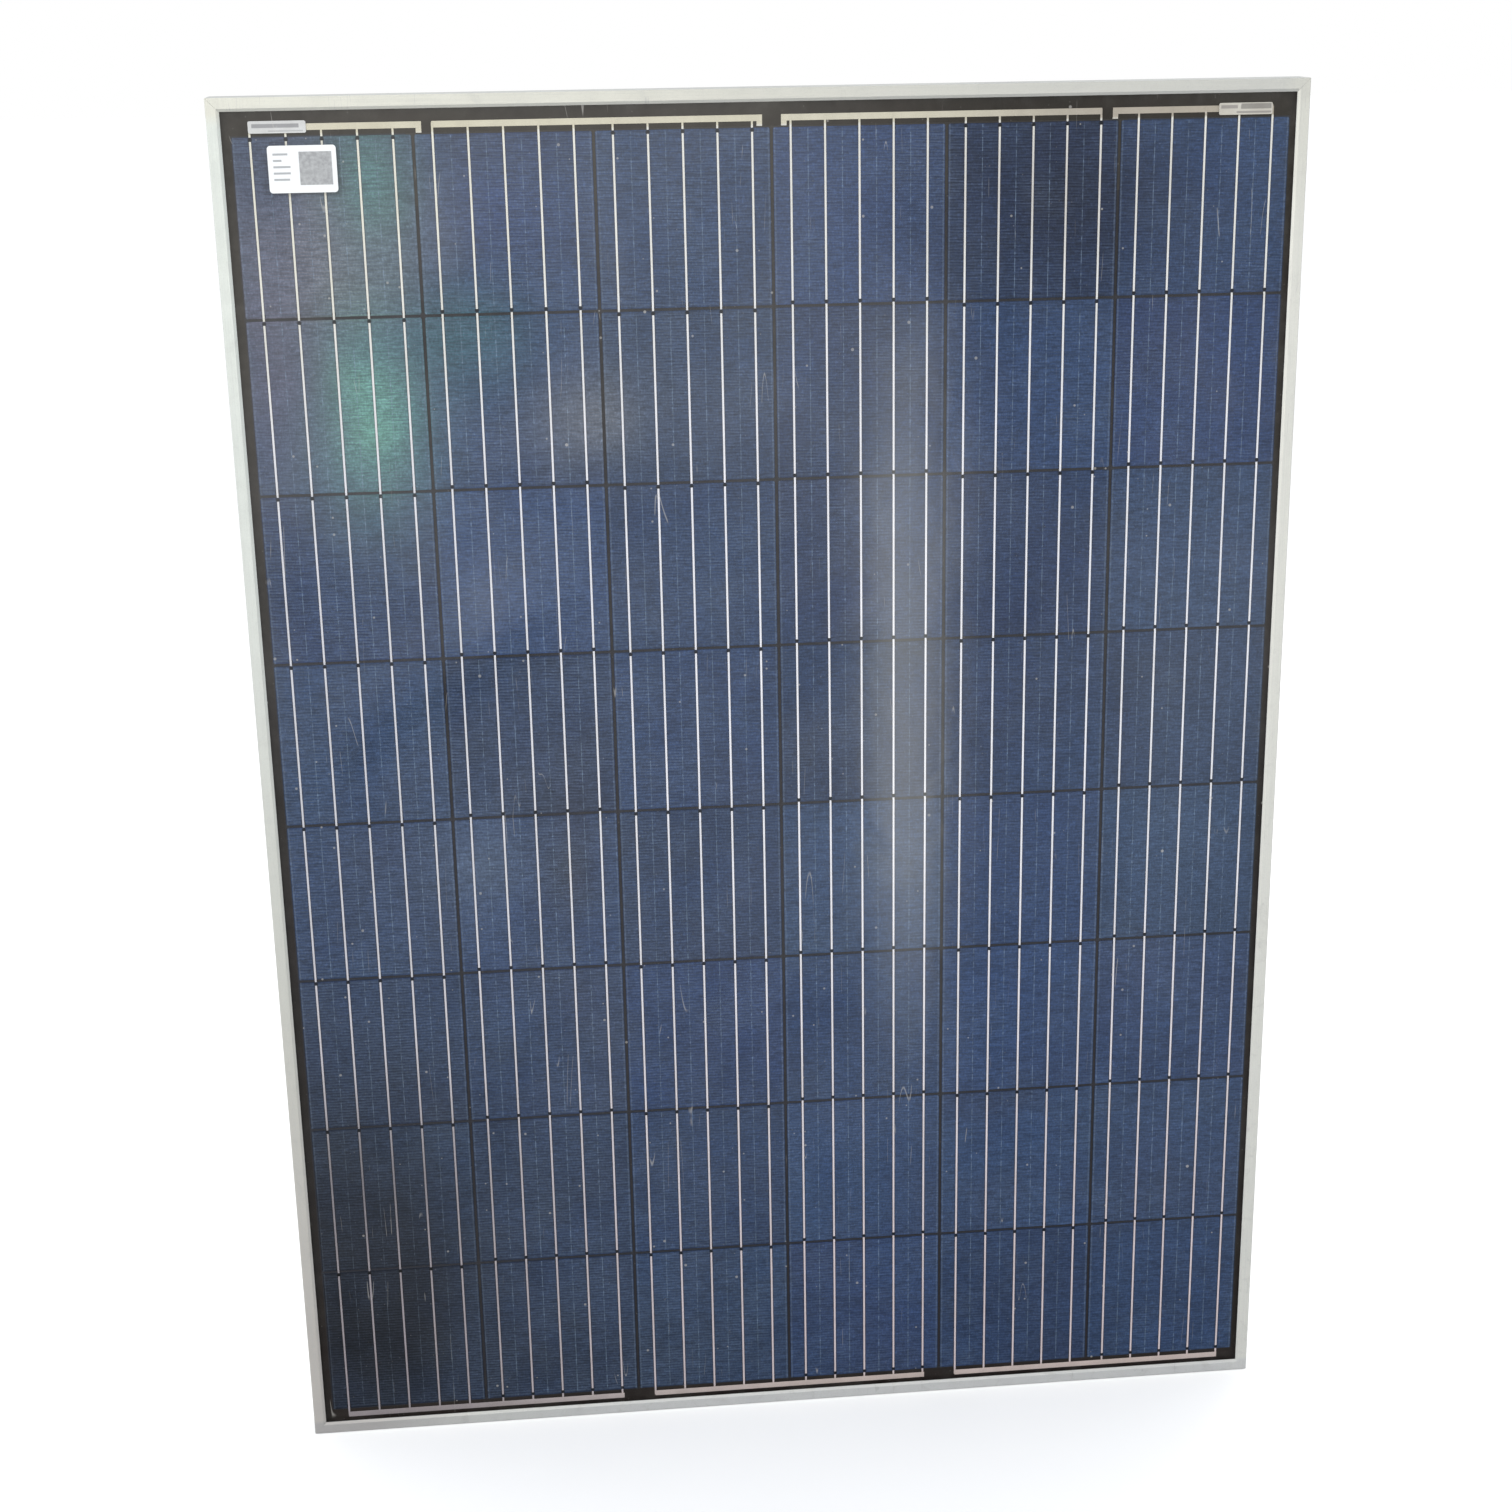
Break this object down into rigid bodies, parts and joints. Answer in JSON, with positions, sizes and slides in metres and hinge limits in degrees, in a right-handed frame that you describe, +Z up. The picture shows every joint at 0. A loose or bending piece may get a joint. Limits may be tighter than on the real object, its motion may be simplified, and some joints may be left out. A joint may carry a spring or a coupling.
{
  "type": "solar panel",
  "caption": "Framed photovoltaic module: glass over dark square cells with ribbons, silver frame, rear junction box with hinged lid, glands and two plugged leads.",
  "frame": {"origin": "middle of the bottom edge, at half the frame depth", "axes": "+Z up along the long side, +Y from the glass side to the rear side, +X to the right seen from the front"},
  "size_m": [0.992, 0.035, 1.332],
  "materials": {
    "anodised_aluminium": "satin anodised, silver",
    "key_aluminium": "as extruded",
    "edge_silicone": "soft matt",
    "front_glass": "clear tempered, low gloss front",
    "encapsulant": "clear film",
    "silicon_cell": "dark blue, anti-reflection coated",
    "tinned_copper": "tin coated copper",
    "black_film": "matt film",
    "backsheet": "matt film, black towards the cells, white outer face",
    "label_white": "satin label",
    "sticker_white": "satin label",
    "label_beige": "satin label",
    "label_silver": "satin silver label",
    "box_plastic": "fine moulded grain",
    "box_silicone": "soft matt",
    "seal_rubber": "soft matt",
    "steel": "plain",
    "terminal_metal": "tin coated",
    "diode_body": "moulded",
    "cable_jacket": "satin extruded",
    "connector_plastic": "fine moulded grain",
    "clamp_plastic": "fine moulded grain"
  },
  "bodies": {
    "root": {"frame_rail_left": "anodised_aluminium", "frame_rail_right": "anodised_aluminium", "frame_rail_top": "anodised_aluminium", "frame_rail_bottom": "anodised_aluminium", "corner_keys": "key_aluminium", "edge_sealant": "edge_silicone", "front_glass": "front_glass", "front_encapsulant": "encapsulant", "rear_encapsulant": "encapsulant", "cell_string_1": "silicon_cell", "cell_ribbons_1": "tinned_copper", "cell_string_2": "silicon_cell", "cell_ribbons_2": "tinned_copper", "cell_string_3": "silicon_cell", "cell_ribbons_3": "tinned_copper", "cell_string_4": "silicon_cell", "cell_ribbons_4": "tinned_copper", "cell_string_5": "silicon_cell", "cell_ribbons_5": "tinned_copper", "cell_string_6": "silicon_cell", "cell_ribbons_6": "tinned_copper", "top_bus_ribbons": "tinned_copper", "bottom_bus_ribbons": "tinned_copper", "junction_lead_ribbons": "tinned_copper", "lead_insulation_strip": "black_film", "backsheet": "backsheet", "laminated_label_left": "label_white", "laminated_label_right": "label_beige", "front_sticker": "sticker_white", "rating_label": "label_silver", "jbox_adhesive": "box_silicone", "jbox_base": "box_plastic", "lid_hinge_pins": "steel", "jbox_lid_gasket": "seal_rubber", "jbox_terminals": "terminal_metal", "jbox_ribbon_clips": "steel", "bypass_diodes": "diode_body", "gland_seals": "seal_rubber", "cable_stubs": "cable_jacket", "conductor_stubs": "tinned_copper"},
    "lid": {"jbox_lid": "box_plastic"},
    "gland_clamp_left": {"gland_clamp_ring_left": "clamp_plastic"},
    "gland_nut_left": {"gland_nut_left": "connector_plastic"},
    "gland_clamp_right": {"gland_clamp_ring_right": "clamp_plastic"},
    "gland_nut_right": {"gland_nut_right": "connector_plastic"},
    "lead_left": {"lead_jacket_left": "cable_jacket", "lead_conductor_left": "tinned_copper", "plug_housing": "connector_plastic", "plug_nose_sleeve": "connector_plastic", "plug_contact": "terminal_metal", "plug_seal": "seal_rubber"},
    "lead_right": {"lead_jacket_right": "cable_jacket", "lead_conductor_right": "tinned_copper", "socket_housing": "connector_plastic", "socket_contact": "terminal_metal", "socket_seal": "seal_rubber"},
    "plug_clamp": {"plug_clamp_ring": "clamp_plastic"},
    "plug_nut": {"plug_nut": "connector_plastic"},
    "socket_clamp": {"socket_clamp_ring": "clamp_plastic"},
    "socket_nut": {"socket_nut": "connector_plastic"}
  },
  "joints": [
    {"name": "jbox_lid_hinge", "type": "hinge", "parent": "root", "child": "lid", "pos_m": [0, 0.009, 1.266], "axis": [1, 0, 0], "range_deg": [0, 120]},
    {"name": "gland_clamp_left_slide", "type": "slide", "parent": "root", "child": "gland_clamp_left", "axis": [0, 0, -1], "range_m": [0, 0.003]},
    {"name": "gland_nut_left_turn", "type": "hinge", "parent": "gland_clamp_left", "child": "gland_nut_left", "pos_m": [-0.036, 0.0015, 1.145], "axis": [0, 0, -1], "range_deg": [0, 720]},
    {"name": "gland_clamp_right_slide", "type": "slide", "parent": "root", "child": "gland_clamp_right", "axis": [0, 0, -1], "range_m": [0, 0.003]},
    {"name": "gland_nut_right_turn", "type": "hinge", "parent": "gland_clamp_right", "child": "gland_nut_right", "pos_m": [0.036, 0.0015, 1.145], "axis": [0, 0, -1], "range_deg": [0, 720]},
    {"name": "lead_left_swing", "type": "hinge", "parent": "root", "child": "lead_left", "pos_m": [-0.036, 0.0015, 1.1376], "axis": [0, 1, 0], "range_deg": [-1, 22]},
    {"name": "lead_right_swing", "type": "hinge", "parent": "root", "child": "lead_right", "pos_m": [0.036, 0.0015, 1.1376], "axis": [0, -1, 0], "range_deg": [-1, 22]},
    {"name": "plug_clamp_slide", "type": "slide", "parent": "lead_left", "child": "plug_clamp", "axis": [0, 0, 1], "range_m": [0, 0.003]},
    {"name": "plug_nut_turn", "type": "hinge", "parent": "plug_clamp", "child": "plug_nut", "pos_m": [-0.036, 0.0015, 0.271], "axis": [0, 0, 1], "range_deg": [0, 720]},
    {"name": "socket_clamp_slide", "type": "slide", "parent": "lead_right", "child": "socket_clamp", "axis": [0, 0, 1], "range_m": [0, 0.003]},
    {"name": "socket_nut_turn", "type": "hinge", "parent": "socket_clamp", "child": "socket_nut", "pos_m": [0.036, 0.0015, 0.271], "axis": [0, 0, 1], "range_deg": [0, 720]}
  ],
  "couplings": [
    {"joint": "gland_nut_left_turn", "follows": "gland_clamp_left_slide", "rad_per_m": 4188.8},
    {"joint": "gland_nut_right_turn", "follows": "gland_clamp_right_slide", "rad_per_m": 4188.8},
    {"joint": "plug_nut_turn", "follows": "plug_clamp_slide", "rad_per_m": 4188.8},
    {"joint": "socket_nut_turn", "follows": "socket_clamp_slide", "rad_per_m": 4188.8}
  ]
}
